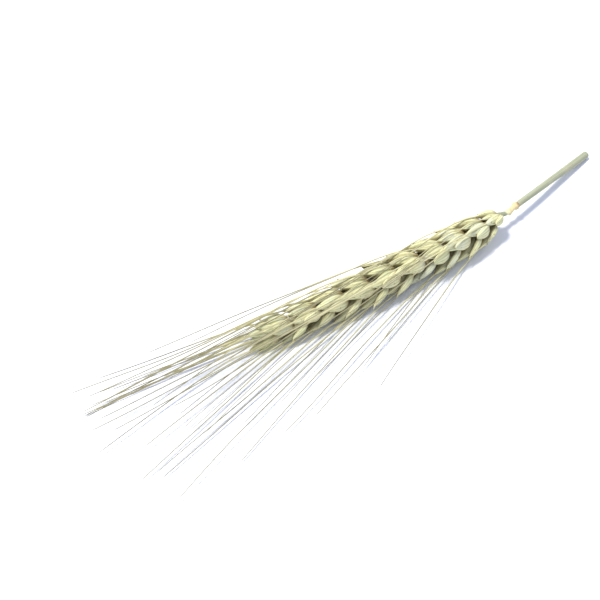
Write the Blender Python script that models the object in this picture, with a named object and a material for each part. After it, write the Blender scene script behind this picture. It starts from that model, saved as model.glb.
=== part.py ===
"""One bearded wheat ear on its cut straw, as picked, lying on a flat surface.

Row frame: +Z up, metres, the surface at Z = 0, the cut end of the straw towards +X and the awn tips
towards -X, the origin under the middle of the whole ear.

Two bodies: "stem", the hollow grey-green straw, and "ear", the straw-yellow head. The head is a zigzag
rachis with spikelets in two rows, one facing up and one lying on the surface. Each spikelet has two glumes
outside, two awned lemmas inside them and a third floret in the middle. They grow from the rachis and from
each other, so they are one body.
"""

import math
import random

import bmesh
import bpy
from mathutils import Vector

SEED = 41

# Straw, from its cut end to the collar under the head.
STEM_LENGTH = 0.042
STEM_RADIUS_CUT = 0.00135
STEM_RADIUS_TOP = 0.00112
STRAW_WALL = 0.00040
STRAW_PITH = 0.006
STEM_SIDES = 10
STEM_RINGS = 16
FACE_GAP = 0.0003

# The line that the straw and the rachis follow. Distances along it start at the cut end. Seen from above, it
# runs aslant by STEM_LEAN up to the bend at BEND_AT, and bows by EAR_BOW towards the tip. Seen from the side,
# it rises from the surface to EAR_HEIGHT at the collar and drops by TIP_DROP along the head. HEAD_ROLL turns
# the head about it, from rows that lie side by side to one row on top of the other.
CUT_END_X = 0.1065
LINE_Y = 0.0061
STEM_LEAN = 0.20
BEND_AT = 0.052
BEND_WIDTH = 0.008
EAR_BOW = 0.0055
EAR_HEIGHT = 0.0064
TIP_DROP = 0.0019
LIFT_SOFTNESS = 0.006
HEAD_ROLL = math.radians(-82)
HEAD_TWIST = math.radians(10)
ROLL_ONSET = 8
FRAME_STEP = 0.0005

# Rachis. The lowest spikelets stand closer together: by FOOT_CROWDING internodes in all, most of it within
# the first FOOT_REACH spikelets.
BARE_INTERNODES = 2
BARE_INTERNODE = 0.0045
INTERNODE = 0.0051
SPIKELETS = 19
FOOT_CROWDING = 1.3
FOOT_REACH = 3.0
HEAD_LENGTH = BARE_INTERNODES * BARE_INTERNODE + (SPIKELETS - FOOT_CROWDING) * INTERNODE
RACHIS_HALF_THICKNESS = 0.00085
RACHIS_HALF_WIDTH = 0.00110
RACHIS_ZIGZAG = 0.00055
RACHIS_TAPER = 0.35
NODE_BELOW = 0.0009
NODE_ABOVE = 0.0006
NODE_THICKER = 1.55
NODE_WIDER = 1.25
COLLAR_RADIUS = 0.00150
COLLAR_SHOULDER = 0.0004
COLLAR_LENGTH = 0.0012
COLLAR_FADE = 0.0006
COLLAR_NARROWING = 0.92
WAIST = 0.85
RACHIS_SIDES = 8

# Spikelets: small at the foot of the head, full in its middle, smaller again at its tip. Each bract leans
# out from the rachis, and fans to one side or the other of its spikelet. FAN_OPENING is the least and the
# most that one spikelet's fan opens, as a share.
FOOT_SIZE = 0.70
FOOT_SPIKELETS = 4.0
FOOT_LEAD = 0.6
TIP_SIZE = 0.80
TIP_FROM = 0.55
LEAN_BASE = math.radians(16.5)
LEAN_TIP = math.radians(14)
LEAN_END = 0.1
ANGLE_SPREAD = math.radians(3)
SIZE_SPREAD = 0.06
FAN_OPENING = (0.85, 1.25)
ROOT_OFFSET = 0.8

# Each kind of bract: length, half width, outward and inward depth, fan angle, foot offset along the fan,
# how far its back turns from the fan towards the outside of the row, how far its back bows out, and its
# share of the lean from the rachis.
BRACTS = {
    "glume": dict(length=0.0116, half_width=0.00235, out=0.00150, inward=0.0012,
                  fan=math.radians(20), foot=0.00140, turn=math.radians(24), bow=0.00060, lean=1.00),
    "lemma": dict(length=0.0150, half_width=0.00225, out=0.00180, inward=0.0024,
                  fan=math.radians(11), foot=0.00080, turn=math.radians(40), bow=0.00070, lean=1.05),
    "third": dict(length=0.0142, half_width=0.00200, out=0.00150, inward=0.0021,
                  fan=0.0, foot=0.0, turn=math.radians(90), bow=0.00030, lean=1.35),
}
BRACT_SIDES = 5
BRACT_STATIONS = (0.20, 0.50, 0.82)
SWELL_RISE = 0.60
SWELL_FALL = 1.00
TIP_SHARE = 0.10
TIP_GROWTH = 4

# Awns: one on each lemma. They leave it in its own direction, turn in line with the head, wave a little and
# spread at their ends: outwards from the row by AWN_SPREAD, and to both sides by AWN_FAN, or by
# AWN_UNDER_FAN in the row that lies on the surface, because that presses them apart. All drift a little to
# one side of their row, by AWN_DRIFT, and sweep together towards -Y, by AWN_SWEEP.
AWN_STEPS = 42
AWN_SAMPLE = 7
AWN_SIDES = 3
AWN_RADIUS_ROOT = 0.00040
AWN_RADIUS_TIP = 0.00020
AWN_LENGTH_LOW = 0.074
AWN_LENGTH_MIDDLE = 0.098
AWN_LENGTH_TOP = 0.060
AWN_LENGTH_SPREAD = (0.90, 1.06)
AWN_START = 0.86
AWN_TURN_SHARE = 0.26
AWN_SPREAD = (0.00, 0.15)
AWN_STRAY = 0.03
AWN_DRIFT = 0.030
AWN_FAN = (0.00, 0.09)
AWN_UNDER_FAN = (0.14, 0.26)
AWN_SWEEP = 0.08
AWN_WAVE_TURNS = (0.8, 1.5)
AWN_WAVE_SIZE = (0.010, 0.035)
AWN_WAVE_SIDEWAYS = 0.6
AWN_FLARE = (-0.02, 0.14)
TABLE_CLEARANCE = 0.0003
TABLE_SOFTNESS = 0.0006
CUTTER_SIZE = 0.4
CUTTER_DEPTH = 0.04


def clear_scene():
    for thing in list(bpy.data.objects):
        bpy.data.objects.remove(thing)


def soft_ramp(x, width):
    """0 well below x = 0 and x well above it, with a smooth turn of that width."""
    return width * math.log1p(math.exp(min(x / width, 60)))


def smooth(x):
    x = min(max(x, 0.0), 1.0)
    return x * x * (3 - 2 * x)


def mix(low, high, share):
    return low + (high - low) * share


def head_share(t):
    """0 at the collar and 1 at the end of the rachis."""
    return (t - STEM_LENGTH) / HEAD_LENGTH


def line_point(t):
    """The middle of the straw or rachis at distance t from the cut end."""
    stem_rise = EAR_HEIGHT - STEM_RADIUS_CUT
    y = LINE_Y + STEM_LEAN * soft_ramp(BEND_AT - t, BEND_WIDTH)
    y += EAR_BOW * max(head_share(t), 0.0) ** 2
    z = EAR_HEIGHT - stem_rise * soft_ramp(STEM_LENGTH - t, LIFT_SOFTNESS) / STEM_LENGTH
    z -= TIP_DROP * smooth(head_share(t)) ** 2
    return Vector((CUT_END_X - t, y, z))


def line_frame(t):
    """(along, across, up) at t: along points to the tip, and across and up turn with the head's roll."""
    along = (line_point(t + FRAME_STEP) - line_point(t - FRAME_STEP)).normalized()
    level = Vector((0, 0, 1)).cross(along).normalized()
    share = head_share(t)
    roll = HEAD_ROLL + HEAD_TWIST * min(max(share, 0.0), 1.0)
    roll *= smooth(share * ROLL_ONSET + 1)
    across = level * math.cos(roll) + along.cross(level) * math.sin(roll)
    return along, across, along.cross(across)


def node_distance(k):
    """Distance of spikelet k's node from the cut end. The head's end is node SPIKELETS."""
    crowded = FOOT_CROWDING * (1 - math.exp(-k / FOOT_REACH))
    return STEM_LENGTH + BARE_INTERNODES * BARE_INTERNODE + (k - crowded) * INTERNODE


def spikelet_frame(k):
    """(along, outward, fan) of spikelet k. They change sides, and the last one is a quarter turn round."""
    along, across, up = line_frame(node_distance(k))
    if k == SPIKELETS:
        return along, up, across
    return along, across * (1 if k % 2 else -1), up


def spikelet_size(k):
    foot = mix(FOOT_SIZE, 1.0, smooth((k + FOOT_LEAD) / FOOT_SPIKELETS))
    tip = mix(1.0, TIP_SIZE, smooth((k / SPIKELETS - TIP_FROM) / (1 - TIP_FROM)))
    return foot * tip


def swell(u):
    """Share of a bract's full width at share u of its length."""
    peak = SWELL_RISE / (SWELL_RISE + SWELL_FALL)
    rise = (u / peak) ** SWELL_RISE
    fall = ((1 - u) / (1 - peak)) ** SWELL_FALL
    return max(rise * fall, TIP_SHARE * smooth(u * TIP_GROWTH))


def bract(kind, k, fan_side, opening, draw):
    """Where and how large one bract is. fan_side is -1 and 1 for the two sides of its spikelet."""
    form = BRACTS[kind]
    along, outward, fan_way = spikelet_frame(k)
    size = spikelet_size(k) * draw.uniform(1 - SIZE_SPREAD, 1 + SIZE_SPREAD)
    lean = mix(LEAN_BASE, LEAN_TIP, k / SPIKELETS) * form["lean"] + draw.uniform(-ANGLE_SPREAD, ANGLE_SPREAD)
    fan = fan_side * (form["fan"] * opening + draw.uniform(-ANGLE_SPREAD, ANGLE_SPREAD))
    if k == SPIKELETS:
        lean *= LEAN_END
    leaning = along * math.cos(lean) + outward * math.sin(lean)
    forward = leaning * math.cos(fan) + fan_way * math.sin(fan)
    back = fan_way * fan_side * math.cos(form["turn"]) + outward * math.sin(form["turn"])
    back = (back - forward * back.dot(forward)).normalized()
    root = line_point(node_distance(k)) + outward * (RACHIS_ZIGZAG * ROOT_OFFSET)
    root += fan_way * fan_side * form["foot"] * size
    made = {name: form[name] * size for name in ("length", "half_width", "out", "inward", "bow")}
    made.update(root=root, forward=forward, back=back, across=forward.cross(back))
    return made


def bract_spine(b, u):
    return b["root"] + b["forward"] * (b["length"] * u) + b["back"] * (b["bow"] * math.sin(math.pi * u))


def spikelet_bracts(k):
    """[(kind, bract, fan_side)] of spikelet k."""
    draw = random.Random(f"{SEED} spikelet {k}")
    opening = draw.uniform(*FAN_OPENING)
    made = []
    for fan_side in (-1, 1):
        for kind in ("glume", "lemma"):
            made.append((kind, bract(kind, k, fan_side, opening, draw), fan_side))
    made.append(("third", bract("third", k, 1, opening, draw), 1))
    return made


def awn_length(k):
    share = 2 * k / SPIKELETS
    if share < 1:
        return mix(AWN_LENGTH_LOW, AWN_LENGTH_MIDDLE, smooth(share))
    return mix(AWN_LENGTH_MIDDLE, AWN_LENGTH_TOP, smooth(share - 1))


def awn_path(b, k, fan_side, draw):
    """Points of the awn that leaves bract b's tip. It never sinks into the surface that the ear lies on."""
    along, outward, fan_way = spikelet_frame(k)
    length = awn_length(k) * draw.uniform(*AWN_LENGTH_SPREAD)
    spread = draw.uniform(*AWN_SPREAD) + draw.uniform(-AWN_STRAY, AWN_STRAY)
    under = outward.z < 0
    sideways = AWN_DRIFT + fan_side * draw.uniform(*(AWN_UNDER_FAN if under else AWN_FAN))
    final = (along + outward * spread + fan_way * sideways - Vector((0, AWN_SWEEP, 0))).normalized()
    wave = draw.uniform(0, 2 * math.pi)
    wave_turns = draw.uniform(*AWN_WAVE_TURNS)
    wave_size = draw.uniform(*AWN_WAVE_SIZE)
    flare = draw.uniform(*AWN_FLARE)
    point = bract_spine(b, AWN_START)
    first = (bract_spine(b, 1.0) - point).normalized()
    points = [point]
    for i in range(AWN_STEPS):
        v = (i + 0.5) / AWN_STEPS
        turn = smooth(v / AWN_TURN_SHARE)
        angle = wave + 2 * math.pi * wave_turns * v
        heading = first * (1 - turn) + final * turn
        heading += outward * (wave_size * math.sin(angle) + flare * v ** 3)
        heading += fan_way * (wave_size * AWN_WAVE_SIDEWAYS * math.cos(angle))
        point = point + heading.normalized() * (length / AWN_STEPS)
        floor = mix(AWN_RADIUS_ROOT, AWN_RADIUS_TIP, v) + TABLE_CLEARANCE
        point.z = floor + soft_ramp(point.z - floor, TABLE_SOFTNESS)
        points.append(point.copy())
    return points


def loft(rings, name, caps):
    """A closed mesh through rings of points. caps holds a point for each end, or None for a flat end."""
    bm = bmesh.new()
    rows = [[bm.verts.new(p) for p in ring] for ring in rings]
    count = len(rows[0])
    for low, high in zip(rows, rows[1:]):
        for i in range(count):
            j = (i + 1) % count
            bm.faces.new((low[i], low[j], high[j], high[i]))
    for row, cap in ((rows[0], caps[0]), (rows[-1], caps[1])):
        if cap is None:
            bm.faces.new(row)
            continue
        pole = bm.verts.new(cap)
        for i in range(count):
            bm.faces.new((row[i], row[(i + 1) % count], pole))
    bmesh.ops.triangulate(bm, faces=bm.faces[:])
    bmesh.ops.recalc_face_normals(bm, faces=bm.faces[:])
    mesh = bpy.data.meshes.new(name)
    bm.to_mesh(mesh)
    bm.free()
    return mesh


def ring(centre, first, second, sides, turn=0.0):
    """Points round centre on the ellipse whose half axes are the vectors first and second."""
    angles = [turn + 2 * math.pi * i / sides for i in range(sides)]
    return [centre + first * math.cos(a) + second * math.sin(a) for a in angles]


def bract_mesh(b, name):
    """A closed husk, keeled along its back and flatter towards the rachis."""
    rings = []
    for u in BRACT_STATIONS:
        share = swell(u)
        points = []
        for i in range(BRACT_SIDES):
            a = math.pi * (2 * i / BRACT_SIDES + 0.5)
            depth = b["out"] if math.sin(a) > 0 else b["inward"]
            sideways = b["across"] * (b["half_width"] * share * math.cos(a))
            points.append(bract_spine(b, u) + sideways + b["back"] * (depth * share * math.sin(a)))
        rings.append(points)
    return loft(rings, name, (bract_spine(b, 0.0), bract_spine(b, 1.0)))


def awn_mesh(points, turn):
    """A slim needle of few sides along points."""
    kept = points[::AWN_SAMPLE]
    rings = []
    for i, point in enumerate(kept):
        ahead = (kept[min(i + 1, len(kept) - 1)] - kept[max(i - 1, 0)]).normalized()
        first = ahead.cross(Vector((0, 0, 1))).normalized()
        second = ahead.cross(first)
        radius = mix(AWN_RADIUS_ROOT, AWN_RADIUS_TIP, i / (len(kept) - 1))
        rings.append(ring(point, first * radius, second * radius, AWN_SIDES, turn))
    return loft(rings, "awn", (None, None))


def rachis_stations():
    """(distance, half thickness, half width, zigzag) along the rachis, from the collar to its end."""
    thin = RACHIS_HALF_THICKNESS
    wide = RACHIS_HALF_WIDTH
    neck = COLLAR_RADIUS * COLLAR_NARROWING
    stations = [
        (STEM_LENGTH, STEM_RADIUS_TOP, STEM_RADIUS_TOP, 0.0),
        (STEM_LENGTH + COLLAR_SHOULDER, COLLAR_RADIUS, COLLAR_RADIUS, 0.0),
        (STEM_LENGTH + COLLAR_LENGTH, neck, neck, 0.0),
        (STEM_LENGTH + COLLAR_LENGTH + COLLAR_FADE, thin, wide * WAIST, 0.0),
    ]
    for i in range(1, BARE_INTERNODES + 1):
        t = STEM_LENGTH + i * BARE_INTERNODE
        zigzag = RACHIS_ZIGZAG * (1 if (i + BARE_INTERNODES) % 2 else -1)
        stations.append((t - NODE_BELOW, thin, wide, zigzag))
        stations.append((t, thin * NODE_THICKER, wide * NODE_WIDER, zigzag))
        stations.append((t + NODE_ABOVE, thin, wide * WAIST, zigzag * WAIST))
    for k in range(1, SPIKELETS + 1):
        zigzag = RACHIS_ZIGZAG * (1 if k % 2 else -1)
        taper = 1 - RACHIS_TAPER * k / SPIKELETS
        stations.append((node_distance(k), thin * taper, wide * taper, zigzag))
    return stations


def rachis_mesh():
    """Collar, bare zigzag foot and the flat stalk that carries the spikelets."""
    rings = []
    for t, thickness, width, zigzag in rachis_stations():
        along, across, up = line_frame(t)
        centre = line_point(t) + across * zigzag
        rings.append(ring(centre, across * thickness, up * width, RACHIS_SIDES, math.pi / RACHIS_SIDES))
    return loft(rings, "rachis", (None, None))


def stem_mesh():
    """The straw: hollow from its cut end, and solid under the head."""
    last = STEM_LENGTH - FACE_GAP
    bore_end = STEM_LENGTH - STRAW_PITH

    def circle(t, wall):
        along, across, up = line_frame(t)
        radius = mix(STEM_RADIUS_CUT, STEM_RADIUS_TOP, t / STEM_LENGTH) - wall
        return ring(line_point(t), across * radius, up * radius, STEM_SIDES, math.pi / 2)

    inside = [bore_end * i / (STEM_RINGS - 2) for i in range(STEM_RINGS - 1)]
    outside = [last * i / (STEM_RINGS - 1) for i in range(STEM_RINGS)]
    rings = [circle(t, STRAW_WALL) for t in reversed(inside)]
    rings += [circle(t, 0.0) for t in outside]
    return loft(rings, "stem", (None, None))


def linked(name, mesh, collection):
    made = bpy.data.objects.new(name, mesh)
    collection.objects.link(made)
    return made


def applied_boolean(target, operation, collection):
    """Applies one Boolean between target and the objects of collection, and removes those."""
    modifier = target.modifiers.new(operation.lower(), "BOOLEAN")
    modifier.operation = operation
    modifier.operand_type = "COLLECTION"
    modifier.collection = collection
    modifier.solver = "MANIFOLD"
    bpy.context.view_layer.update()
    graph = bpy.context.evaluated_depsgraph_get()
    result = bpy.data.meshes.new_from_object(target.evaluated_get(graph))
    target.modifiers.clear()
    target.data = result
    for thing in list(collection.objects):
        bpy.data.objects.remove(thing)
    bpy.data.collections.remove(collection)


def keep_outer_body(target):
    """Drops what the union sealed inside and any loose scrap: the largest connected skin stays."""
    bm = bmesh.new()
    bm.from_mesh(target.data)
    unseen = set(bm.verts)
    skins = []
    while unseen:
        edge_of = [unseen.pop()]
        skin = set()
        while edge_of:
            vert = edge_of.pop()
            skin.add(vert)
            near = {edge.other_vert(vert) for edge in vert.link_edges} & unseen
            unseen -= near
            edge_of.extend(near)
        skins.append(skin)
    largest = max(skins, key=len)
    bmesh.ops.delete(bm, geom=[v for v in bm.verts if v not in largest], context="VERTS")
    bm.to_mesh(target.data)
    bm.free()


def finish_of(name, colour, roughness):
    material = bpy.data.materials.new(name)
    material.use_nodes = True
    shader = material.node_tree.nodes["Principled BSDF"]
    shader.inputs["Base Color"].default_value = (*colour, 1.0)
    shader.inputs["Roughness"].default_value = roughness
    shader.inputs["Metallic"].default_value = 0.0
    return material


def build_stem(scene_objects):
    stem = linked("stem", stem_mesh(), scene_objects)
    stem.data.shade_smooth()
    stem.data.set_sharp_from_angle(angle=math.radians(50))
    stem.data.materials.append(finish_of("straw_grey_green", (0.42, 0.46, 0.33), 0.55))


def helper_collection(name):
    made = bpy.data.collections.new(name)
    bpy.context.scene.collection.children.link(made)
    return made


def join_repeats(ear):
    """Husks and awns, joined to the rachis in one union."""
    repeats = helper_collection("repeats")
    for k in range(SPIKELETS + 1):
        for number, (kind, b, fan_side) in enumerate(spikelet_bracts(k)):
            linked(f"{kind}_{k}_{number}", bract_mesh(b, kind), repeats)
            if kind == "lemma":
                draw = random.Random(f"{SEED} awn {k} {number}")
                path = awn_path(b, k, fan_side, draw)
                linked(f"awn_{k}_{number}", awn_mesh(path, draw.uniform(0, math.pi)), repeats)
    applied_boolean(ear, "UNION", repeats)
    keep_outer_body(ear)


def flatten_underside(ear):
    """The husks that the ear lies on are flat where they meet the surface."""
    table = helper_collection("table")
    x = Vector((CUTTER_SIZE / 2, 0, 0))
    y = Vector((0, CUTTER_SIZE / 2, 0))
    top = [x + y, y - x, -x - y, x - y]
    bottom = [corner - Vector((0, 0, CUTTER_DEPTH)) for corner in top]
    linked("under_surface", loft([bottom, top], "under_surface", (None, None)), table)
    applied_boolean(ear, "DIFFERENCE", table)
    keep_outer_body(ear)


def build_ear(scene_objects):
    ear = linked("ear", rachis_mesh(), scene_objects)
    join_repeats(ear)
    flatten_underside(ear)
    ear.data.materials.clear()
    ear.data.materials.append(finish_of("straw_yellow", (0.62, 0.58, 0.33), 0.60))


def main():
    clear_scene()
    scene_objects = bpy.context.scene.collection
    build_stem(scene_objects)
    build_ear(scene_objects)


main()
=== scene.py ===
"""Looks of one bearded wheat ear that lies on its side, with a short length of its hollow straw.

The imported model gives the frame: metres, +Z up, the straw's cut end towards +X, the awn tips towards -X.
The layout below repeats the named values that the solids were built from, so that each finer husk and awn
lies where its solid lies.
"""

import math
import random

import bpy
import numpy as np
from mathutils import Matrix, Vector


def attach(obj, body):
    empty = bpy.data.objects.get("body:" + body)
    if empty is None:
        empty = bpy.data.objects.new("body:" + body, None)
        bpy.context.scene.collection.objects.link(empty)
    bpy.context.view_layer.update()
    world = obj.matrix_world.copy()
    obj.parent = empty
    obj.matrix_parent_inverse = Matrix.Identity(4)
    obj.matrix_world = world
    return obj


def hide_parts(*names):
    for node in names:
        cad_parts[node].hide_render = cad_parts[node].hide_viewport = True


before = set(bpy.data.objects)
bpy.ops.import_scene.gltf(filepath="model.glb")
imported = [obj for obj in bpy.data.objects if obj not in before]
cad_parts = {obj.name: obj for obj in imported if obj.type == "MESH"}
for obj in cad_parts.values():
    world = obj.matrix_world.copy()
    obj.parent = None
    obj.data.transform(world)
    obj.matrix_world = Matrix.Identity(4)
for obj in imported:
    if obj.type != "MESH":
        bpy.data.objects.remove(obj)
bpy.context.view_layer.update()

SEED = 41

# Layout of the solids: straw and rachis line.
STEM_LENGTH = 0.042
STEM_RADIUS_CUT = 0.00135
STEM_RADIUS_TOP = 0.00112
STRAW_WALL = 0.00040
STRAW_PITH = 0.006
FACE_GAP = 0.0003
CUT_END_X = 0.1065
LINE_Y = 0.0061
STEM_LEAN = 0.20
BEND_AT = 0.052
BEND_WIDTH = 0.008
EAR_BOW = 0.0055
EAR_HEIGHT = 0.0064
TIP_DROP = 0.0019
LIFT_SOFTNESS = 0.006
HEAD_ROLL = math.radians(-82)
HEAD_TWIST = math.radians(10)
ROLL_ONSET = 8
FRAME_STEP = 0.0005
LARGEST_POWER = 60

# Layout of the solids: rachis.
BARE_INTERNODES = 2
BARE_INTERNODE = 0.0045
INTERNODE = 0.0051
SPIKELETS = 19
FOOT_CROWDING = 1.3
FOOT_REACH = 3.0
HEAD_LENGTH = BARE_INTERNODES * BARE_INTERNODE + (SPIKELETS - FOOT_CROWDING) * INTERNODE
RACHIS_HALF_THICKNESS = 0.00085
RACHIS_HALF_WIDTH = 0.00110
RACHIS_ZIGZAG = 0.00055
RACHIS_TAPER = 0.35
NODE_BELOW = 0.0009
NODE_ABOVE = 0.0006
NODE_THICKER = 1.55
NODE_WIDER = 1.25
COLLAR_RADIUS = 0.00150
COLLAR_SHOULDER = 0.0004
COLLAR_LENGTH = 0.0012
COLLAR_FADE = 0.0006
COLLAR_NARROWING = 0.92
WAIST = 0.85

# Layout of the solids: husks.
FOOT_SIZE = 0.70
FOOT_SPIKELETS = 4.0
FOOT_LEAD = 0.6
TIP_SIZE = 0.80
TIP_FROM = 0.55
LEAN_BASE = math.radians(16.5)
LEAN_TIP = math.radians(14)
LEAN_END = 0.1
ANGLE_SPREAD = math.radians(3)
SIZE_SPREAD = 0.06
FAN_OPENING = (0.85, 1.25)
ROOT_OFFSET = 0.8
BRACTS = {
    "glume": dict(length=0.0116, half_width=0.00235, out=0.00150, inward=0.0012,
                  fan=math.radians(20), foot=0.00140, turn=math.radians(24), bow=0.00060, lean=1.00),
    "lemma": dict(length=0.0150, half_width=0.00225, out=0.00180, inward=0.0024,
                  fan=math.radians(11), foot=0.00080, turn=math.radians(40), bow=0.00070, lean=1.05),
    "third": dict(length=0.0142, half_width=0.00200, out=0.00150, inward=0.0021,
                  fan=0.0, foot=0.0, turn=math.radians(90), bow=0.00030, lean=1.35),
}
SWELL_RISE = 0.60
SWELL_FALL = 1.00
TIP_SHARE = 0.10
TIP_GROWTH = 4

# Layout of the solids: awns.
AWN_STEPS = 42
AWN_RADIUS_ROOT = 0.00040
AWN_RADIUS_TIP = 0.00020
AWN_LENGTH_LOW = 0.074
AWN_LENGTH_MIDDLE = 0.098
AWN_LENGTH_TOP = 0.060
AWN_LENGTH_SPREAD = (0.90, 1.06)
AWN_START = 0.86
AWN_TURN_SHARE = 0.26
AWN_SPREAD = (0.00, 0.15)
AWN_STRAY = 0.03
AWN_DRIFT = 0.030
AWN_FAN = (0.00, 0.09)
AWN_UNDER_FAN = (0.14, 0.26)
AWN_SWEEP = 0.08
AWN_WAVE_TURNS = (0.8, 1.5)
AWN_WAVE_SIZE = (0.010, 0.035)
AWN_WAVE_SIDEWAYS = 0.6
AWN_FLARE = (-0.02, 0.14)
TABLE_CLEARANCE = 0.0003
TABLE_SOFTNESS = 0.0006

# Finer husks: thin boat-shaped scales with raised nerves, open towards the rachis. wrap is how far round
# the scale reaches on each side of its keel, and nerves is how many ribs it has.
SCALES = {
    "glume": dict(wrap=math.radians(112), nerves=7, keel=0.00044, keel_width=0.15, keel_at=0.30,
                  beak=0.00070),
    "lemma": dict(wrap=math.radians(122), nerves=5, keel=0.00010, keel_width=0.30, keel_at=0.00, beak=0.0),
    "third": dict(wrap=math.radians(118), nerves=5, keel=0.00010, keel_width=0.30, keel_at=0.00, beak=0.0),
}
SCALE_ROWS = 24
COLUMNS_A_NERVE = 4
SCALE_FOOT = 0.02
SCALE_THICKNESS = 0.00013
SCALE_THINNEST = 0.35
SCALE_FULL_SWELL = 0.5
NERVE_HEIGHT = 0.00006
NERVE_FOOT = 0.12
NERVE_END = 0.20
NERVE_LAST_SIDE = 0.95
NERVE_INSIDE = 0.5
KEEL_LEAST = 0.2
KEEL_ONSET = 0.20
BEAK_FROM = 0.80
WRINKLES = 3
WRINKLE_SIZE = (0.00001, 0.00004)
WRINKLE_ALONG = (1.0, 3.5)
WRINKLE_AROUND = (1.0, 2.5)
PALEA_ROWS = 12
PALEA_COLUMNS = 9
PALEA_WIDTH = 0.90
PALEA_DEPTH = 1.0
PALEA_SPAN = (0.06, 0.92)
PALEA_SHADE = 0.6
PALEA_ROUND = 0.9
PALEA_EDGE_DEPTH = 0.35
PALEA_THINNER = 0.7

# Finer awns.
AWN_SIDES = 6
AWN_ROOT = 0.00029
AWN_TIP = 0.00013
AWN_POINT = 0.15
AWN_POINT_SHARE = 0.03
AWN_TAPER = 0.8
AWN_SMALLER_THIRD = 0.8
BARBS_AN_AWN = 64
BARB_SPAN = (1.0, 39.0)
BARB_LENGTH = (0.00018, 0.00034)
BARB_RADIUS = 0.000035
BARB_SIDES = 4
BARB_SINK = 0.8
BARB_SPLAY = 0.45
BARB_POINT = 0.25
THIRD_AWN_LENGTH = 0.72
THIRD_AWN_START = 0.88

# Finer rachis and straw.
RACHIS_STEP = 0.00025
RACHIS_SIDES = 20
RACHIS_RIB = 0.03
RACHIS_RIBS = 6
INTERNODE_WAIST = 0.16
HAIRS_A_NODE = 26
HAIR_LENGTH = (0.0004, 0.0010)
HAIR_RADIUS = 0.000018
HAIR_SIDES = 4
HAIR_REACH = 0.9
HAIR_SINK = 0.9
HAIR_SCATTER = 0.0003
HAIR_FORWARD = (0.5, 1.2)
HAIR_STRAY = 0.5
HAIR_BEND = 0.3
HAIR_BEND_HALFWAY = 0.3
HAIR_TAPER = (1.0, 0.8, 0.3)
STRAW_SIDES = 48
STRAW_STEP = 0.0009
STRAW_RIB = 0.000018
STRAW_RIBS = 16
BORE_RINGS = 12

# How far husks press flat where the ear lies on them.
REST_SOFTNESS = 0.00030

# Edges sharper than this stay sharp.
SHARP_ANGLE = math.radians(55)


def soft_ramp(x, width):
    """0 well below x = 0 and x well above it, with a smooth turn of that width."""
    return width * math.log1p(math.exp(min(x / width, LARGEST_POWER)))


def smooth(x):
    x = min(max(x, 0.0), 1.0)
    return x * x * (3 - 2 * x)


def smooth_all(x):
    x = np.clip(x, 0.0, 1.0)
    return x * x * (3 - 2 * x)


def mix(low, high, share):
    return low + (high - low) * share


def head_share(t):
    return (t - STEM_LENGTH) / HEAD_LENGTH


def line_point(t):
    """The middle of the straw or rachis at distance t from the cut end."""
    stem_rise = EAR_HEIGHT - STEM_RADIUS_CUT
    y = LINE_Y + STEM_LEAN * soft_ramp(BEND_AT - t, BEND_WIDTH)
    y += EAR_BOW * max(head_share(t), 0.0) ** 2
    z = EAR_HEIGHT - stem_rise * soft_ramp(STEM_LENGTH - t, LIFT_SOFTNESS) / STEM_LENGTH
    z -= TIP_DROP * smooth(head_share(t)) ** 2
    return Vector((CUT_END_X - t, y, z))


def line_frame(t, rolled=True):
    """(along, across, up) at t. along points to the tip. across and up turn with the head's roll, unless
    rolled is False."""
    along = (line_point(t + FRAME_STEP) - line_point(t - FRAME_STEP)).normalized()
    level = Vector((0, 0, 1)).cross(along).normalized()
    share = head_share(t)
    roll = HEAD_ROLL + HEAD_TWIST * min(max(share, 0.0), 1.0)
    roll *= smooth(share * ROLL_ONSET + 1) * rolled
    across = level * math.cos(roll) + along.cross(level) * math.sin(roll)
    return along, across, along.cross(across)


def node_distance(k):
    crowded = FOOT_CROWDING * (1 - math.exp(-k / FOOT_REACH))
    return STEM_LENGTH + BARE_INTERNODES * BARE_INTERNODE + (k - crowded) * INTERNODE


def spikelet_frame(k):
    """(along, outward, fan) of spikelet k. They change sides, and the last one is a quarter turn round."""
    along, across, up = line_frame(node_distance(k))
    if k == SPIKELETS:
        return along, up, across
    return along, across * (1 if k % 2 else -1), up


def spikelet_size(k):
    foot = mix(FOOT_SIZE, 1.0, smooth((k + FOOT_LEAD) / FOOT_SPIKELETS))
    tip = mix(1.0, TIP_SIZE, smooth((k / SPIKELETS - TIP_FROM) / (1 - TIP_FROM)))
    return foot * tip


def swell(u):
    """Share of a husk's full width at the shares u of its length."""
    peak = SWELL_RISE / (SWELL_RISE + SWELL_FALL)
    rise = (u / peak) ** SWELL_RISE
    fall = ((1 - u) / (1 - peak)) ** SWELL_FALL
    return np.maximum(rise * fall, TIP_SHARE * smooth_all(u * TIP_GROWTH))


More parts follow.
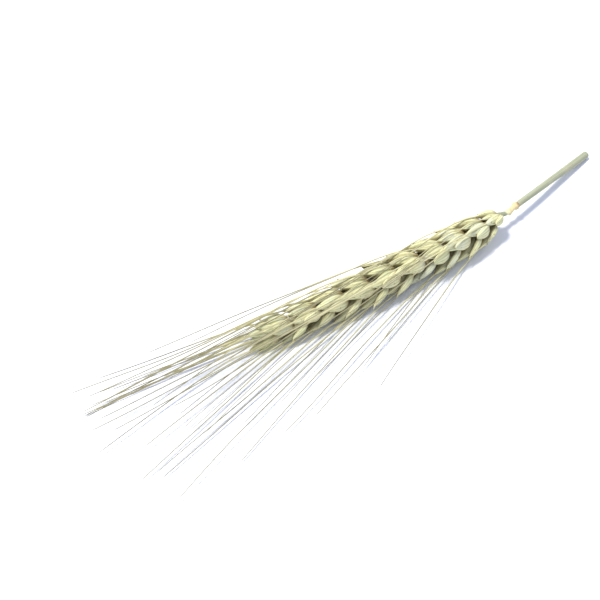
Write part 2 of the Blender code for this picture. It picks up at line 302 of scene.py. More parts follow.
def bract(kind, k, fan_side, opening, draw):
    """Where and how large one husk is. fan_side is -1 and 1 for the two sides of its spikelet."""
    form = BRACTS[kind]
    along, outward, fan_way = spikelet_frame(k)
    size = spikelet_size(k) * draw.uniform(1 - SIZE_SPREAD, 1 + SIZE_SPREAD)
    lean = mix(LEAN_BASE, LEAN_TIP, k / SPIKELETS) * form["lean"] + draw.uniform(-ANGLE_SPREAD, ANGLE_SPREAD)
    fan = fan_side * (form["fan"] * opening + draw.uniform(-ANGLE_SPREAD, ANGLE_SPREAD))
    if k == SPIKELETS:
        lean *= LEAN_END
    leaning = along * math.cos(lean) + outward * math.sin(lean)
    forward = leaning * math.cos(fan) + fan_way * math.sin(fan)
    back = fan_way * fan_side * math.cos(form["turn"]) + outward * math.sin(form["turn"])
    back = (back - forward * back.dot(forward)).normalized()
    root = line_point(node_distance(k)) + outward * (RACHIS_ZIGZAG * ROOT_OFFSET)
    root += fan_way * fan_side * form["foot"] * size
    made = {name: form[name] * size for name in ("length", "half_width", "out", "inward", "bow")}
    made.update(root=root, forward=forward, back=back, across=forward.cross(back))
    return made


def bract_spine(b, u):
    return b["root"] + b["forward"] * (b["length"] * u) + b["back"] * (b["bow"] * math.sin(math.pi * u))


def spikelet_bracts(k):
    """[(kind, husk, fan_side)] of spikelet k."""
    draw = random.Random(f"{SEED} spikelet {k}")
    opening = draw.uniform(*FAN_OPENING)
    made = []
    for fan_side in (-1, 1):
        for kind in ("glume", "lemma"):
            made.append((kind, bract(kind, k, fan_side, opening, draw), fan_side))
    made.append(("third", bract("third", k, 1, opening, draw), 1))
    return made


def awn_length(k):
    share = 2 * k / SPIKELETS
    if share < 1:
        return mix(AWN_LENGTH_LOW, AWN_LENGTH_MIDDLE, smooth(share))
    return mix(AWN_LENGTH_MIDDLE, AWN_LENGTH_TOP, smooth(share - 1))


def awn_path(b, k, fan_side, draw, start=AWN_START, shorter=1.0):
    """Points of the awn that leaves husk b's tip. It never sinks into the surface that the ear lies on."""
    along, outward, fan_way = spikelet_frame(k)
    length = awn_length(k) * draw.uniform(*AWN_LENGTH_SPREAD) * shorter
    spread = draw.uniform(*AWN_SPREAD) + draw.uniform(-AWN_STRAY, AWN_STRAY)
    under = outward.z < 0
    sideways = AWN_DRIFT + fan_side * draw.uniform(*(AWN_UNDER_FAN if under else AWN_FAN))
    final = (along + outward * spread + fan_way * sideways - Vector((0, AWN_SWEEP, 0))).normalized()
    wave = draw.uniform(0, 2 * math.pi)
    wave_turns = draw.uniform(*AWN_WAVE_TURNS)
    wave_size = draw.uniform(*AWN_WAVE_SIZE)
    flare = draw.uniform(*AWN_FLARE)
    point = bract_spine(b, start)
    first = (bract_spine(b, 1.0) - point).normalized()
    points = [point]
    for i in range(AWN_STEPS):
        v = (i + 0.5) / AWN_STEPS
        turn = smooth(v / AWN_TURN_SHARE)
        angle = wave + 2 * math.pi * wave_turns * v
        heading = first * (1 - turn) + final * turn
        heading += outward * (wave_size * math.sin(angle) + flare * v ** 3)
        heading += fan_way * (wave_size * AWN_WAVE_SIDEWAYS * math.cos(angle))
        point = point + heading.normalized() * (length / AWN_STEPS)
        floor = mix(AWN_RADIUS_ROOT, AWN_RADIUS_TIP, v) + TABLE_CLEARANCE
        point.z = floor + soft_ramp(point.z - floor, TABLE_SOFTNESS)
        points.append(point.copy())
    return points


class Body:
    """Points, faces and per-point values of many closed forms, joined in one mesh."""

    def __init__(self):
        self.points = []
        self.faces = []
        self.values = {}
        self.count = 0

    def loft(self, rings, **values):
        """Adds a closed form through rings, an array (rings, points a ring, 3). Values have a number for
        each of those points, or broadcast to that."""
        stations, around = rings.shape[:2]
        index = np.arange(stations * around).reshape(stations, around)
        ahead = np.roll(index, -1, axis=1)
        sides = np.stack((index[:-1], ahead[:-1], ahead[1:], index[1:]), axis=-1).reshape(-1, 4)
        j = np.arange(around // 2 - 1)
        cap = np.stack((j, j + 1, around - 2 - j, around - 1 - j), axis=-1)
        faces = np.concatenate((sides, cap[:, ::-1], cap + index[-1, 0]))
        points = rings.reshape(-1, 3)
        if enclosed_volume(points, faces) < 0:
            faces = faces[:, ::-1]
        self.points.append(points)
        self.faces.append(faces + self.count)
        self.count += len(points)
        for name, value in values.items():
            filled = np.broadcast_to(value, (stations, around)).reshape(-1)
            self.values.setdefault(name, []).append(filled)

    def finish(self, name, material, slot, node):
        """Makes the piece, lets it rest on the surface and hands it to the frame."""
        points = np.concatenate(self.points).astype(np.float32)
        points[:, 2] = rested(points[:, 2])
        faces = np.concatenate(self.faces).astype(np.int32)
        mesh = bpy.data.meshes.new(name)
        mesh.vertices.add(len(points))
        mesh.vertices.foreach_set("co", points.ravel())
        mesh.loops.add(faces.size)
        mesh.loops.foreach_set("vertex_index", faces.ravel())
        mesh.polygons.add(len(faces))
        mesh.polygons.foreach_set("loop_start", np.arange(0, faces.size, 4, dtype=np.int32))
        for value_name, parts in self.values.items():
            layer = mesh.attributes.new(value_name, "FLOAT", "POINT")
            layer.data.foreach_set("value", np.concatenate(parts).astype(np.float32))
        mesh.update(calc_edges=True)
        mesh.shade_smooth()
        mesh.set_sharp_from_angle(angle=SHARP_ANGLE)
        mesh.materials.append(material)
        made = bpy.data.objects.new(name, mesh)
        bpy.context.scene.collection.objects.link(made)
        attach(made, "root")
        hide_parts(node)
        return made


def enclosed_volume(points, faces):
    """Six times the volume inside closed faces, positive where they point out."""
    a, b, c, d = (points[faces[:, i]] for i in range(4))
    first = np.einsum("ij,ij->i", a, np.cross(b, c))
    second = np.einsum("ij,ij->i", a, np.cross(c, d))
    return float(first.sum() + second.sum())


def rested(z):
    """Heights of points once those under the surface are pressed up flat against it."""
    return REST_SOFTNESS * np.logaddexp(0.0, z / REST_SOFTNESS)


def husk_rows():
    """Shares of a husk's length, closer together at its foot and tip."""
    even = np.linspace(0.0, 1.0, SCALE_ROWS)
    eased = 0.5 - 0.5 * np.cos(math.pi * even)
    return SCALE_FOOT + (1 - SCALE_FOOT) * (even + eased) / 2


def wrinkles(u, side, draw):
    """Slight waves of a dried husk, in metres."""
    total = np.zeros((len(u), len(side)))
    for _ in range(WRINKLES):
        along = np.sin(2 * math.pi * (draw.uniform(*WRINKLE_ALONG) * u + draw.random()))
        around = np.sin(2 * math.pi * (draw.uniform(*WRINKLE_AROUND) * side / 2 + draw.random()))
        total += draw.uniform(*WRINKLE_SIZE) * np.outer(along, around)
    return total


def spine_rows(b, u):
    rows = np.outer(u * b["length"], b["forward"])
    return rows + np.outer(np.sin(math.pi * u) * b["bow"], b["back"]) + np.array(b["root"])


def scale_shell(body, b, kind, fan_side, draw):
    """One thin husk with its keel, nerves and margins."""
    form = SCALES[kind]
    u = husk_rows()
    columns = COLUMNS_A_NERVE * (form["nerves"] + 1) + 1
    side = np.linspace(-1.0, 1.0, columns)
    theta = side * form["wrap"]
    full = swell(u)
    half = (b["half_width"] * full)[:, None]
    depth = np.where(np.cos(theta) > 0, b["out"], b["inward"])[None, :] * full[:, None]
    x = half * np.sin(theta)
    y = depth * np.cos(theta)
    normal_x = depth * np.sin(theta)
    normal_y = half * np.cos(theta)
    size = np.hypot(normal_x, normal_y)
    normal_x, normal_y = normal_x / size, normal_y / size

    phase = side * (form["nerves"] + 1) / 2
    rib = (0.5 + 0.5 * np.cos(2 * math.pi * phase)) ** 2 * (np.abs(side) < NERVE_LAST_SIDE)
    fade = smooth_all(u / NERVE_FOOT) * smooth_all((1 - u) / NERVE_END)
    keel = np.exp(-np.abs(side - form["keel_at"] * fan_side) / form["keel_width"])
    keel_rise = smooth_all(u / KEEL_ONSET) * np.clip(full, KEEL_LEAST, 1.0)
    relief = NERVE_HEIGHT * np.outer(fade, rib) + form["keel"] * np.outer(keel_rise, keel)
    relief += wrinkles(u, side, draw) * full[:, None]
    thickness = SCALE_THICKNESS * mix(SCALE_THINNEST, 1.0, np.clip(full / SCALE_FULL_SWELL, 0, 1))
    beak = form["beak"] * smooth_all((u - BEAK_FROM) / (1 - BEAK_FROM)) ** 2

    spine = spine_rows(b, u) + np.outer(beak, b["back"])

    def surface(lift):
        sideways = (x + normal_x * lift)[..., None] * np.array(b["across"])
        upward = (y + normal_y * lift)[..., None] * np.array(b["back"])
        return spine[:, None, :] + sideways + upward

    outer = surface(relief)
    inner = surface(relief - thickness[:, None])[:, ::-1]
    rings = np.concatenate((outer, inner), axis=1)
    nerve = np.outer(fade, rib)
    # inner is 1 on the concave inner face, which the husk material darkens as painted shade.
    body.loft(
        rings,
        along=u[:, None],
        side=np.concatenate((side, side[::-1]))[None, :],
        nerve=np.concatenate((nerve, nerve[:, ::-1] * NERVE_INSIDE), axis=1),
        inner=np.repeat((0.0, 1.0), columns)[None, :],
        chance=draw.random(),
    )


def palea_shell(body, b, draw):
    """The thin inner scale that closes a floret towards the rachis."""
    u = np.linspace(*PALEA_SPAN, PALEA_ROWS)
    side = np.linspace(-1.0, 1.0, PALEA_COLUMNS)
    full = swell(u)[:, None]
    x = b["half_width"] * PALEA_WIDTH * full * side
    crown = np.sqrt(1 - (side * PALEA_ROUND) ** 2)
    y = -b["inward"] * full * PALEA_DEPTH * mix(PALEA_EDGE_DEPTH, 1.0, crown)
    spine = spine_rows(b, u)[:, None, :]

    def surface(lift):
        upward = (y + lift)[..., None] * np.array(b["back"])
        return spine + x[..., None] * np.array(b["across"]) + upward

    outer = surface(0.0)
    inner = surface(SCALE_THICKNESS * PALEA_THINNER)[:, ::-1]
    rings = np.concatenate((outer, inner), axis=1)
    around = np.concatenate((side, side[::-1]))[None, :]
    # The paleas get part of that painted inner shade, as if in shadow behind the husks.
    body.loft(rings, along=u[:, None], side=around, nerve=0.0, inner=PALEA_SHADE, chance=draw.random())


def tube_frames(points):
    """(centres, firsts, seconds): each point with two directions square to the path there."""
    centres = np.array(points)
    ahead = np.gradient(centres, axis=0)
    ahead /= np.linalg.norm(ahead, axis=1)[:, None]
    firsts = np.cross(ahead, (0.0, 0.0, 1.0))
    firsts /= np.linalg.norm(firsts, axis=1)[:, None]
    return centres, firsts, np.cross(ahead, firsts)


def tube_rings(points, radii, sides):
    """Rings (stations, sides, 3) round points. radii is an array that broadcasts to (stations, sides)."""
    centres, firsts, seconds = tube_frames(points)
    angle = 2 * math.pi * np.arange(sides) / sides
    radii = np.broadcast_to(radii, (len(centres), sides))
    first = (radii * np.cos(angle))[..., None] * firsts[:, None, :]
    second = (radii * np.sin(angle))[..., None] * seconds[:, None, :]
    return centres[:, None, :] + first + second


def awn(body, points, thinner, draw):
    """A slim awn that tapers from its root to its tip, rough with small barbs that point forwards."""
    share = np.linspace(0.0, 1.0, len(points))
    radii = (AWN_ROOT + (AWN_TIP - AWN_ROOT) * share ** AWN_TAPER) * thinner
    radii *= mix(AWN_POINT, 1.0, smooth_all((1 - share) / AWN_POINT_SHARE))
    rings = tube_rings(points, radii[:, None], AWN_SIDES)
    chance = draw.random()
    body.loft(rings, along=share[:, None], side=0.0, nerve=0.0, chance=chance)
    centres, firsts, seconds = tube_frames(points)
    for _ in range(BARBS_AN_AWN):
        at = draw.uniform(*BARB_SPAN)
        i = int(at)
        angle = draw.uniform(0, 2 * math.pi)
        out = firsts[i] * math.cos(angle) + seconds[i] * math.sin(angle)
        ahead = centres[i + 1] - centres[i]
        root = centres[i] + ahead * (at - i) + out * (radii[i] * BARB_SINK)
        way = out * BARB_SPLAY + ahead / np.linalg.norm(ahead)
        tip = root + way * draw.uniform(*BARB_LENGTH)
        barb_radii = np.array([[BARB_RADIUS], [BARB_RADIUS * BARB_POINT]])
        barb = tube_rings([root, tip], barb_radii, BARB_SIDES)
        body.loft(barb, along=share[i], side=0.0, nerve=0.0, chance=chance)


def make_head_parts():
    """Husks, paleas and awns of all the spikelets."""
    glumes = Body()
    lemmas = Body()
    thirds = Body()
    paleas = Body()
    awns = Body()
    shells = {"glume": glumes, "lemma": lemmas, "third": thirds}
    for k in range(SPIKELETS + 1):
        for number, (kind, b, fan_side) in enumerate(spikelet_bracts(k)):
            look = random.Random(f"{SEED} scale {k} {number}")
            scale_shell(shells[kind], b, kind, fan_side, look)
            if kind != "glume":
                palea_shell(paleas, b, look)
            if kind == "lemma":
                draw = random.Random(f"{SEED} awn {k} {number}")
                awn(awns, awn_path(b, k, fan_side, draw), 1.0, look)
            if kind == "third":
                draw = random.Random(f"{SEED} third awn {k}")
                path = awn_path(b, k, fan_side, draw, THIRD_AWN_START, THIRD_AWN_LENGTH)
                awn(awns, path, AWN_SMALLER_THIRD, look)
    return glumes, lemmas, thirds, paleas, awns


def rachis_stations():
    """(distance, half thickness, half width, zigzag) along the rachis, from the collar to its end."""
    thin = RACHIS_HALF_THICKNESS
    wide = RACHIS_HALF_WIDTH
    neck = COLLAR_RADIUS * COLLAR_NARROWING
    stations = [
        (STEM_LENGTH, STEM_RADIUS_TOP, STEM_RADIUS_TOP, 0.0),
        (STEM_LENGTH + COLLAR_SHOULDER, COLLAR_RADIUS, COLLAR_RADIUS, 0.0),
        (STEM_LENGTH + COLLAR_LENGTH, neck, neck, 0.0),
        (STEM_LENGTH + COLLAR_LENGTH + COLLAR_FADE, thin, wide * WAIST, 0.0),
    ]
    for i in range(1, BARE_INTERNODES + 1):
        t = STEM_LENGTH + i * BARE_INTERNODE
        zigzag = RACHIS_ZIGZAG * (1 if (i + BARE_INTERNODES) % 2 else -1)
        stations.append((t - NODE_BELOW, thin, wide, zigzag))
        stations.append((t, thin * NODE_THICKER, wide * NODE_WIDER, zigzag))
        stations.append((t + NODE_ABOVE, thin, wide * WAIST, zigzag * WAIST))
    for k in range(1, SPIKELETS + 1):
        zigzag = RACHIS_ZIGZAG * (1 if k % 2 else -1)
        taper = 1 - RACHIS_TAPER * k / SPIKELETS
        stations.append((node_distance(k), thin * taper, wide * taper, zigzag))
    return np.array(stations)


def make_rachis():
    """Collar, bare zigzag foot and the flat ribbed stalk inside the head."""
    stations = rachis_stations()
    t = np.arange(STEM_LENGTH, stations[-1, 0], RACHIS_STEP)
    thickness, width, zigzag = (np.interp(t, stations[:, 0], stations[:, i]) for i in (1, 2, 3))
    in_head = smooth_all((t - node_distance(0)) / INTERNODE)
    phase = ((t - node_distance(0)) / INTERNODE) % 1.0
    width *= 1 - INTERNODE_WAIST * in_head * np.sin(math.pi * phase)
    angle = 2 * math.pi * np.arange(RACHIS_SIDES) / RACHIS_SIDES + math.pi / RACHIS_SIDES
    rib = 1 + RACHIS_RIB * np.cos(RACHIS_RIBS * angle)
    rings = []
    for i, distance in enumerate(t):
        _, across, up = line_frame(distance)
        centre = np.array(line_point(distance) + across * zigzag[i])
        first = np.outer(np.cos(angle) * rib * thickness[i], across)
        second = np.outer(np.sin(angle) * rib * width[i], up)
        rings.append(centre + first + second)
    body = Body()
    body.loft(
        np.array(rings),
        along=((t - STEM_LENGTH) / HEAD_LENGTH)[:, None],
        side=(angle / math.pi - 1)[None, :],
        nerve=0.0,
        chance=0.5,
    )
    return body


def make_hairs():
    """Short pale hairs on the rachis's edges, thickest below each node."""
    stations = rachis_stations()
    body = Body()
    draw = random.Random(f"{SEED} hairs")
    for k in range(-BARE_INTERNODES + 1, SPIKELETS):
        node = node_distance(k) if k >= 0 else STEM_LENGTH + BARE_INTERNODE
        for i in range(HAIRS_A_NODE):
            t = node - draw.uniform(0.0, HAIR_REACH) * INTERNODE * draw.random()
            along, across, up = line_frame(t)
            width = float(np.interp(t, stations[:, 0], stations[:, 2]))
            zigzag = float(np.interp(t, stations[:, 0], stations[:, 3]))
            edge = 1 if i % 2 else -1
            root = line_point(t) + across * zigzag + up * (edge * width * HAIR_SINK)
            root += across * draw.uniform(-HAIR_SCATTER, HAIR_SCATTER)
            way = along * draw.uniform(*HAIR_FORWARD) + up * edge
            way = (way + across * draw.uniform(-HAIR_STRAY, HAIR_STRAY)).normalized()
            length = draw.uniform(*HAIR_LENGTH)
            bend = along * (length * HAIR_BEND)
            middle = root + way * (length / 2) + bend * HAIR_BEND_HALFWAY
            path = [root, middle, root + way * length + bend]
            radii = np.array(HAIR_TAPER) * HAIR_RADIUS
            rings = tube_rings(path, radii[:, None], HAIR_SIDES)
            body.loft(rings, along=0.5, side=0.0, nerve=0.0, chance=0.5)
    return body


def make_straw():
    """The ribbed straw: hollow from its cut end, solid under the head."""
    last = STEM_LENGTH - FACE_GAP
    bore_end = STEM_LENGTH - STRAW_PITH
    angle = 2 * math.pi * np.arange(STRAW_SIDES) / STRAW_SIDES
    rib = STRAW_RIB * np.cos(STRAW_RIBS * angle)

    def circle(t, wall):
        _, across, up = line_frame(t, rolled=False)
        radius = mix(STEM_RADIUS_CUT, STEM_RADIUS_TOP, t / STEM_LENGTH) - wall
        lift = rib if wall == 0.0 else 0.0 * rib
        first = np.outer(np.cos(angle) * (radius + lift), across)
        return np.array(line_point(t)) + first + np.outer(np.sin(angle) * (radius + lift), up)

    inside = np.linspace(0.0, bore_end, BORE_RINGS)
    outside = np.linspace(0.0, last, int(last / STRAW_STEP))
    rings = [circle(t, STRAW_WALL) for t in inside[::-1]]
    rings += [circle(t, 0.0) for t in outside]
    distance = np.concatenate((inside[::-1], outside))
    is_outside = np.concatenate((np.zeros(len(inside)), np.ones(len(outside))))
    body = Body()
    body.loft(
        np.array(rings),
        along=(distance / STEM_LENGTH)[:, None],
        side=(angle / math.pi - 1)[None, :],
        nerve=is_outside[:, None],
        chance=0.5,
    )
    return body


# How deep bumps are, in metres. Then how far one part's streaks lie from another's in the noise, and the
# scale, detail and roughness of that noise.
BUMP_DEPTH = 0.0001
STREAK_SHIFTS = (37.0, 17.0, 5.0)
STREAK_NOISE = (1.0, 3.0, 0.6)


class Shading:
    """A material under construction, with short ways to add its nodes."""

    def __init__(self, name):
        self.material = bpy.data.materials.new(name)
        self.material.use_nodes = True
        self.tree = self.material.node_tree
        self.shader = self.tree.nodes["Principled BSDF"]

    def plug(self, socket, value):
        if isinstance(value, bpy.types.NodeSocket):
            self.tree.links.new(value, socket)
        else:
            socket.default_value = value

    def value(self, name):
        """The mesh's own number of that name."""
        node = self.tree.nodes.new("ShaderNodeAttribute")
        node.attribute_name = name
        return node.outputs["Fac"]

    def math(self, operation, first, second=0.0, clamp=False):
        node = self.tree.nodes.new("ShaderNodeMath")
        node.operation = operation
        node.use_clamp = clamp
        self.plug(node.inputs[0], first)
        self.plug(node.inputs[1], second)
        return node.outputs[0]

    def ramp(self, value, low, high, to_low=0.0, to_high=1.0):
        """value from low to high as to_low to to_high, smoothly and no further."""
        node = self.tree.nodes.new("ShaderNodeMapRange")
        node.interpolation_type = "SMOOTHSTEP"
        self.plug(node.inputs["Value"], value)
        node.inputs["From Min"].default_value = low
        node.inputs["From Max"].default_value = high
        node.inputs["To Min"].default_value = to_low
        node.inputs["To Max"].default_value = to_high
        return node.outputs["Result"]

    def mix(self, share, first, second):
        """Colours first and second mixed by share."""
        node = self.tree.nodes.new("ShaderNodeMix")
        node.data_type = "RGBA"
        self.plug(node.inputs["Factor"], share)
        for socket, colour in zip((node.inputs[6], node.inputs[7]), (first, second)):
            self.plug(socket, colour if isinstance(colour, bpy.types.NodeSocket) else (*colour, 1.0))
        return node.outputs[2]

    def place(self, x, y, z):
        """A vector of three numbers."""
        node = self.tree.nodes.new("ShaderNodeCombineXYZ")
        for socket, value in zip(node.inputs, (x, y, z)):
            self.plug(socket, value)
        return node.outputs[0]

    def surface_place(self):
        return self.tree.nodes.new("ShaderNodeTexCoord").outputs["Object"]

    def noise(self, vector, scale, detail=2.0, roughness=0.5):
        node = self.tree.nodes.new("ShaderNodeTexNoise")
        self.plug(node.inputs["Vector"], vector)
        node.inputs["Scale"].default_value = scale
        node.inputs["Detail"].default_value = detail
        node.inputs["Roughness"].default_value = roughness
        return node.outputs["Fac"]

    def bump(self, height, strength):
        node = self.tree.nodes.new("ShaderNodeBump")
        node.inputs["Strength"].default_value = strength
        node.inputs["Distance"].default_value = BUMP_DEPTH
        self.plug(node.inputs["Height"], height)
        self.tree.links.new(node.outputs["Normal"], self.shader.inputs["Normal"])

    def streaks(self, around, along):
        """Noise drawn out lengthwise, in the mesh's own coordinates, different on each part."""
        chance = self.value("chance")
        x = self.math("MULTIPLY_ADD", self.value("side"), around)
        self.tree.links.new(self.math("MULTIPLY", chance, STREAK_SHIFTS[0]), x.node.inputs[2])
        y = self.math("MULTIPLY_ADD", self.value("along"), along)
        self.tree.links.new(self.math("MULTIPLY", chance, STREAK_SHIFTS[1]), y.node.inputs[2])
        z = self.math("MULTIPLY", chance, STREAK_SHIFTS[2])
        return self.noise(self.place(x, y, z), *STREAK_NOISE)

    def done(self, colour, roughness, specular=0.35):
        self.plug(self.shader.inputs["Base Color"], colour)
        self.plug(self.shader.inputs["Roughness"], roughness)
        self.shader.inputs["Specular IOR Level"].default_value = specular
        return self.material


YELLOW = (0.79, 0.75, 0.42)
GREEN = (0.65, 0.69, 0.38)
CREAM = (0.87, 0.86, 0.62)
NERVE = (0.30, 0.30, 0.12)
# Tan of husk feet and tips, a real colour; near the feet it also stands for painted shade in the crevices
# between husks.
TAN_AND_CREVICE_SHADE = (0.33, 0.21, 0.08)
# Painted shade along husk edges, where husks tuck under one another.
MARGIN_SHADE = (0.22, 0.19, 0.08)
# Painted shade on the inner faces of husks and paleas.
INNER_SHADE = (0.20, 0.155, 0.07)
FLECK = (0.27, 0.16, 0.06)
FIBRE = (0.43, 0.40, 0.18)
BLOOM = (0.64, 0.67, 0.53)
AWN_PALE = (0.66, 0.62, 0.35)
AWN_OLIVE = (0.31, 0.285, 0.155)
AWN_DARK = (0.17, 0.15, 0.08)
STRAW_GREEN = (0.30, 0.32, 0.20)
STRAW_PALE = (0.48, 0.50, 0.35)
STRAW_YELLOW = (0.48, 0.45, 0.28)
COLLAR_CREAM = (0.66, 0.56, 0.31)
COLLAR_SPOT = (0.40, 0.20, 0.07)
PITH = (0.78, 0.72, 0.52)
HAIR_PALE = (0.85, 0.84, 0.74)

# Markings: (from, to, share at from, share at to) of the number that each follows. Without shares they go
# from 0 to 1.
HUSK_MARKS = {
    "green": (0.35, 0.70, 0.0, 0.55),
    "fibre": (0.46, 0.72, 0.0, 0.45),
    "bloom": (0.50, 0.68, 0.0, 0.50),
    # Tan towards the foot, partly real colour and partly painted shade of the crevices between husks.
    "foot": (0.03, 0.40, 0.95, 0.0),
    "foot_patch": (0.30, 0.60, 0.6, 1.0),
    # Painted shade along the edges, where husks tuck under one another.
    "margin_shade": (0.55, 1.00, 0.0, 0.85),
    "tip": (0.86, 1.00, 0.0, 0.55),
    "fleck": (0.60, 0.72, 0.0, 0.75),
    "roughness": (0.30, 0.70, 0.68, 0.48),
}
HUSK_PALE_STREAKS = (0.45, 0.75)
NERVE_SHARE = 0.6
# How much painted shade the inner faces get.
INNER_SHADE_SHARE = 0.8
AWN_MARKS = {
    "olive": (0.10, 0.60),
    "dark_awns": (0.50, 1.00, 0.0, 0.7),
    "dark_ends": (0.20, 0.70),
    "stain": (0.45, 0.75, 0.0, 0.5),
}
RACHIS_MARKS = {
    "cream": (0.40, 0.70, 0.0, 0.7),
    "collar": (0.035, 0.065, 1.0, 0.0),
    "grey_from": (0.055, 0.07),
    "grey_to": (0.095, 0.12, 1.0, 0.0),
    "spot": (0.0, 0.02, 1.0, 0.0),
    "spot_patch": (0.45, 0.60, 0.15, 0.9),
    "fibre": (0.48, 0.75, 0.0, 0.45),
}
STRAW_MARKS = {
    "pale": (0.35, 0.70, 0.0, 0.75),
    "cloud": (0.50, 0.75, 0.0, 0.45),
    "top": (0.94, 1.00, 0.0, 0.6),
    "fibre": (0.50, 0.75, 0.0, 0.4),
    "fleck": (0.64, 0.70, 0.0, 0.6),
    "roughness": (0.30, 0.70, 0.6, 0.45),
}

# Streaks: (number round the part, number along it).
HUSK_STREAKS = (9.0, 1.6)
HUSK_FIBRES = (46.0, 2.4)
RACHIS_STREAKS = (6.0, 20.0)
RACHIS_FIBRES = (30.0, 60.0)
STRAW_LINES = (26.0, 1.5)
STRAW_FIBRES = (90.0, 4.0)

# Noise: (scale per metre, detail, roughness).
HUSK_PATCHES = (160.0, 2.0)
HUSK_BLOOM = (110.0, 2.0)
HUSK_FLECKS = (900.0, 3.0, 0.65)
AWN_STAINS = (120.0, 3.0)
RACHIS_PATCHES = (700.0, 2.0)
HAIR_PATCHES = (900.0,)
STRAW_CLOUDS = (110.0, 2.0)
STRAW_FLECKS = (620.0, 3.0, 0.65)


def husk_material(name, greener, paler):
    """Papery husk: straw yellow with green, pale streaks, dark nerves, a tan foot and tip, and flecks. Near
    the foot the tan is laid on darker as painted shade of the crevices between husks, and its edges and
    inner face get painted shade too. greener is the most green that chance adds to a husk, and paler is the
    share of cream in its palest streaks."""
    s = Shading(name)
    marks = HUSK_MARKS
    along = s.value("along")
    chance = s.value("chance")
    place = s.surface_place()
    side = s.math("ABSOLUTE", s.value("side"))
    streak = s.streaks(*HUSK_STREAKS)
    fibre = s.streaks(*HUSK_FIBRES)
    patch = s.noise(place, *HUSK_PATCHES)
    green = s.math("ADD", s.ramp(patch, *marks["green"]), s.math("MULTIPLY", chance, greener), clamp=True)
    colour = s.mix(green, YELLOW, GREEN)
    colour = s.mix(s.ramp(streak, *HUSK_PALE_STREAKS, 0.0, paler), colour, CREAM)
    colour = s.mix(s.ramp(fibre, *marks["fibre"]), colour, FIBRE)
    colour = s.mix(s.math("MULTIPLY", s.value("nerve"), NERVE_SHARE), colour, NERVE)
    bloom = s.ramp(s.noise(place, *HUSK_BLOOM), *marks["bloom"])
    colour = s.mix(bloom, colour, BLOOM)
    # Towards the foot the husk turns tan, a real colour, laid on darker as painted shade in the crevices
    # between husks.
    foot = s.ramp(along, *marks["foot"])
    colour = s.mix(s.math("MULTIPLY", foot, s.ramp(patch, *marks["foot_patch"])), colour, TAN_AND_CREVICE_SHADE)
    # Painted shade along the husk's edges, where husks tuck under one another.
    colour = s.mix(s.ramp(side, *marks["margin_shade"]), colour, MARGIN_SHADE)
    # Painted shade on the inner face, which looks in towards the grain and rachis.
    colour = s.mix(s.math("MULTIPLY", s.value("inner"), INNER_SHADE_SHARE), colour, INNER_SHADE)
    tip = s.ramp(along, *marks["tip"])
    colour = s.mix(s.math("MULTIPLY", tip, chance), colour, TAN_AND_CREVICE_SHADE)
    fleck = s.ramp(s.noise(place, *HUSK_FLECKS), *marks["fleck"])
    colour = s.mix(fleck, colour, FLECK)
    s.bump(s.math("ADD", streak, fibre), strength=0.5)
    return s.done(colour, s.ramp(streak, *marks["roughness"]), specular=0.3)


def awn_material():
    """Pale green-yellow at the root, olive towards the tip, and darker on some awns."""
    s = Shading("awn_straw")
    marks = AWN_MARKS
    along = s.value("along")
    chance = s.value("chance")
    colour = s.mix(s.ramp(along, *marks["olive"]), AWN_PALE, AWN_OLIVE)
    dark = s.math("MULTIPLY", s.ramp(chance, *marks["dark_awns"]), s.ramp(along, *marks["dark_ends"]))
    colour = s.mix(dark, colour, AWN_DARK)
    stain = s.ramp(s.noise(s.surface_place(), *AWN_STAINS), *marks["stain"])
    colour = s.mix(stain, colour, AWN_OLIVE)
    return s.done(colour, roughness=0.5)


def rachis_material():
    """Cream collar with a tan spot, cream and grey-green bare foot, yellow stalk inside the head."""
    s = Shading("rachis_cream")
    marks = RACHIS_MARKS
    along = s.value("along")
    place = s.surface_place()
    streak = s.streaks(*RACHIS_STREAKS)
    patch = s.noise(place, *RACHIS_PATCHES)
    fibre = s.streaks(*RACHIS_FIBRES)
    colour = s.mix(s.ramp(streak, *marks["cream"]), YELLOW, CREAM)
    collar = s.ramp(along, *marks["collar"])
    colour = s.mix(collar, colour, COLLAR_CREAM)
    grey = s.math("MULTIPLY", s.ramp(along, *marks["grey_from"]), s.ramp(along, *marks["grey_to"]))
    colour = s.mix(grey, colour, STRAW_GREEN)
    spot = s.math("MULTIPLY", s.ramp(along, *marks["spot"]), s.ramp(patch, *marks["spot_patch"]))
    colour = s.mix(spot, colour, COLLAR_SPOT)
    colour = s.mix(s.ramp(fibre, *marks["fibre"]), colour, FIBRE)
    s.bump(s.math("ADD", streak, fibre), strength=0.5)
    return s.done(colour, roughness=0.6)


def hair_material():
    s = Shading("rachis_hair")
    colour = s.mix(s.noise(s.surface_place(), *HAIR_PATCHES), CREAM, HAIR_PALE)
    return s.done(colour, roughness=0.45)


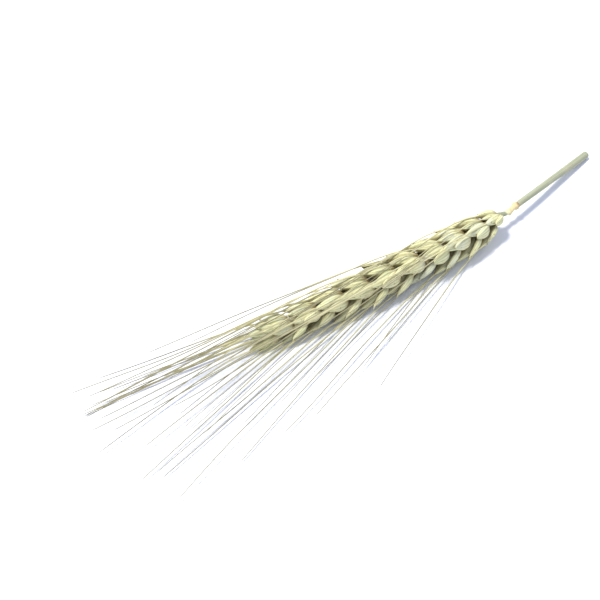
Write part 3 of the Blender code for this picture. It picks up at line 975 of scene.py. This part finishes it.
def straw_material():
    """Grey-green straw with a waxy bloom, fine lengthwise lines and a yellower stretch under the head."""
    s = Shading("straw_grey_green")
    marks = STRAW_MARKS
    along = s.value("along")
    line = s.streaks(*STRAW_LINES)
    fibre = s.streaks(*STRAW_FIBRES)
    cloud = s.noise(s.surface_place(), *STRAW_CLOUDS)
    colour = s.mix(s.ramp(line, *marks["pale"]), STRAW_GREEN, STRAW_PALE)
    colour = s.mix(s.ramp(cloud, *marks["cloud"]), colour, STRAW_YELLOW)
    colour = s.mix(s.ramp(along, *marks["top"]), colour, STRAW_YELLOW)
    colour = s.mix(s.ramp(fibre, *marks["fibre"]), colour, STRAW_GREEN)
    fleck = s.ramp(s.noise(s.surface_place(), *STRAW_FLECKS), *marks["fleck"])
    colour = s.mix(fleck, colour, FLECK)
    colour = s.mix(s.math("SUBTRACT", 1.0, s.value("nerve")), colour, PITH)
    s.bump(s.math("ADD", line, fibre), strength=0.4)
    return s.done(colour, s.ramp(line, *marks["roughness"]))


def make_object():
    glumes, lemmas, thirds, paleas, awns = make_head_parts()
    glumes.finish("glumes", husk_material("glume_husk", greener=0.35, paler=0.75), "husk", "ear")
    lemmas.finish("lemmas", husk_material("lemma_husk", greener=0.55, paler=0.60), "husk", "ear")
    thirds.finish("third_lemmas", husk_material("third_husk", greener=0.45, paler=0.85), "husk", "ear")
    paleas.finish("paleas", husk_material("palea_husk", greener=0.20, paler=0.90), "husk", "ear")
    awns.finish("awns", awn_material(), "husk", "ear")
    make_rachis().finish("rachis", rachis_material(), "husk", "ear")
    make_hairs().finish("rachis_hairs", hair_material(), "husk", "ear")
    make_straw().finish("straw", straw_material(), "straw", "stem")


# Camera, floor and light.
VIEW_AZIMUTH = math.radians(-35)
VIEW_ELEVATION = math.radians(50)
LENS = 70
SENSOR = 36
NEAR_CLIP = 0.01
VIEW_TARGET = (-0.0217, 0.0178, 0.004)
VIEW_DISTANCE = 0.3835
FLOOR_SIZE = 60.0
FLOOR_COLOUR = (0.86, 0.88, 0.93)
FLOOR_LIGHTER = 0.05
FLOOR_CLOUDS = (3.0,)
FLOOR_TINT = (0.3, 0.7, 0.0, 0.3)
HORIZON_COLOUR = (1.0, 1.0, 1.0)
ZENITH_COLOUR = (0.56, 0.60, 0.76)
ZENITH_FROM = 0.30
KEY_DIRECTION = (-0.31, 0.24, 0.92)
KEY_STRENGTH = 3.85
KEY_ANGLE = math.radians(14)
KEY_COLOUR = (1.0, 0.985, 0.955)


def make_camera():
    right = Vector((math.cos(VIEW_AZIMUTH), math.sin(VIEW_AZIMUTH), 0))
    level = Vector((right.y, -right.x, 0))
    back = level * math.cos(VIEW_ELEVATION) + Vector((0, 0, math.sin(VIEW_ELEVATION)))
    data = bpy.data.cameras.new("camera")
    data.lens = LENS
    data.sensor_width = SENSOR
    data.clip_start = NEAR_CLIP
    camera = bpy.data.objects.new("camera", data)
    camera.location = Vector(VIEW_TARGET) + back * VIEW_DISTANCE
    camera.rotation_euler = back.to_track_quat("Z", "Y").to_euler()
    bpy.context.scene.collection.objects.link(camera)
    bpy.context.scene.camera = camera


def make_key():
    """One broad, soft light from the upper left, as even over the whole floor as daylight."""
    data = bpy.data.lights.new("key", "SUN")
    data.energy = KEY_STRENGTH
    data.angle = KEY_ANGLE
    data.color = KEY_COLOUR
    light = bpy.data.objects.new("key", data)
    light.location = KEY_DIRECTION
    light.rotation_euler = Vector(KEY_DIRECTION).to_track_quat("Z", "Y").to_euler()
    bpy.context.scene.collection.objects.link(light)


def make_floor():
    half = FLOOR_SIZE / 2
    corners = [(-half, -half, 0), (half, -half, 0), (half, half, 0), (-half, half, 0)]
    mesh = bpy.data.meshes.new("floor")
    mesh.from_pydata(corners, [], [(0, 1, 2, 3)])
    s = Shading("floor_white")
    tint = s.ramp(s.noise(s.surface_place(), *FLOOR_CLOUDS), *FLOOR_TINT)
    lighter = tuple(mix(c, 1.0, FLOOR_LIGHTER) for c in FLOOR_COLOUR)
    mesh.materials.append(s.done(s.mix(tint, FLOOR_COLOUR, lighter), roughness=0.8, specular=0.1))
    floor = bpy.data.objects.new("floor", mesh)
    bpy.context.scene.collection.objects.link(floor)


def make_sky():
    """White round the horizon and dimmer, bluish overhead."""
    world = bpy.data.worlds.new("studio")
    world.use_nodes = True
    tree = world.node_tree
    place = tree.nodes.new("ShaderNodeTexCoord")
    parts = tree.nodes.new("ShaderNodeSeparateXYZ")
    height = tree.nodes.new("ShaderNodeMapRange")
    height.interpolation_type = "SMOOTHSTEP"
    height.inputs["From Max"].default_value = ZENITH_FROM
    colour = tree.nodes.new("ShaderNodeMix")
    colour.data_type = "RGBA"
    colour.inputs[6].default_value = (*HORIZON_COLOUR, 1.0)
    colour.inputs[7].default_value = (*ZENITH_COLOUR, 1.0)
    tree.links.new(place.outputs["Generated"], parts.inputs[0])
    tree.links.new(parts.outputs["Z"], height.inputs["Value"])
    tree.links.new(height.outputs["Result"], colour.inputs["Factor"])
    tree.links.new(colour.outputs[2], tree.nodes["Background"].inputs["Color"])
    bpy.context.scene.world = world


def make_surroundings():
    bpy.context.scene.view_settings.view_transform = "Standard"
    make_sky()
    make_floor()
    make_key()


make_object()
make_surroundings()
make_camera()
